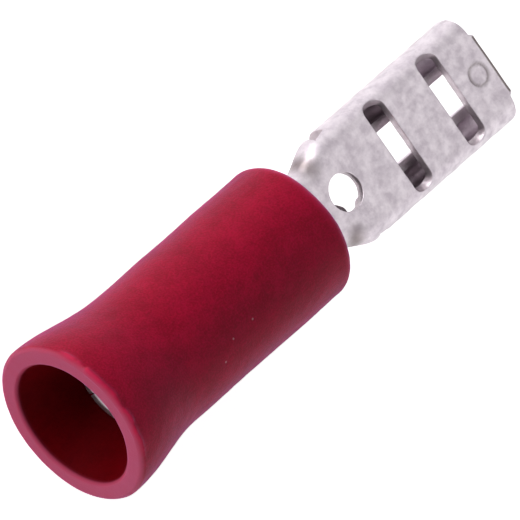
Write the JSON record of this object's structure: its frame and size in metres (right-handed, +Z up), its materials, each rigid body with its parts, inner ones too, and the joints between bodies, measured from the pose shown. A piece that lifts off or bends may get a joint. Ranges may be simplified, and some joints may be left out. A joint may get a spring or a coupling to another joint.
{
  "type": "female spade terminal",
  "caption": "Insulated crimp receptacle: a folded tin-plated brass contact with rolled edges that grip a flat tab, its wire barrel covered by a red vinyl sleeve with a flared mouth.",
  "frame": {"origin": "on the surface that the terminal lies on, below the middle of its bounding box", "axes": "+Z up, +X from the flared wire end to the tab end, +Y to the left seen from the wire end"},
  "size_m": [0.0186, 0.0054, 0.0053],
  "materials": {
    "tinned_brass": "satin tin plating",
    "red_vinyl": "soft matte"
  },
  "bodies": {
    "root": {"contact": "tinned_brass", "insulating_sleeve": "red_vinyl"}
  },
  "joints": []
}
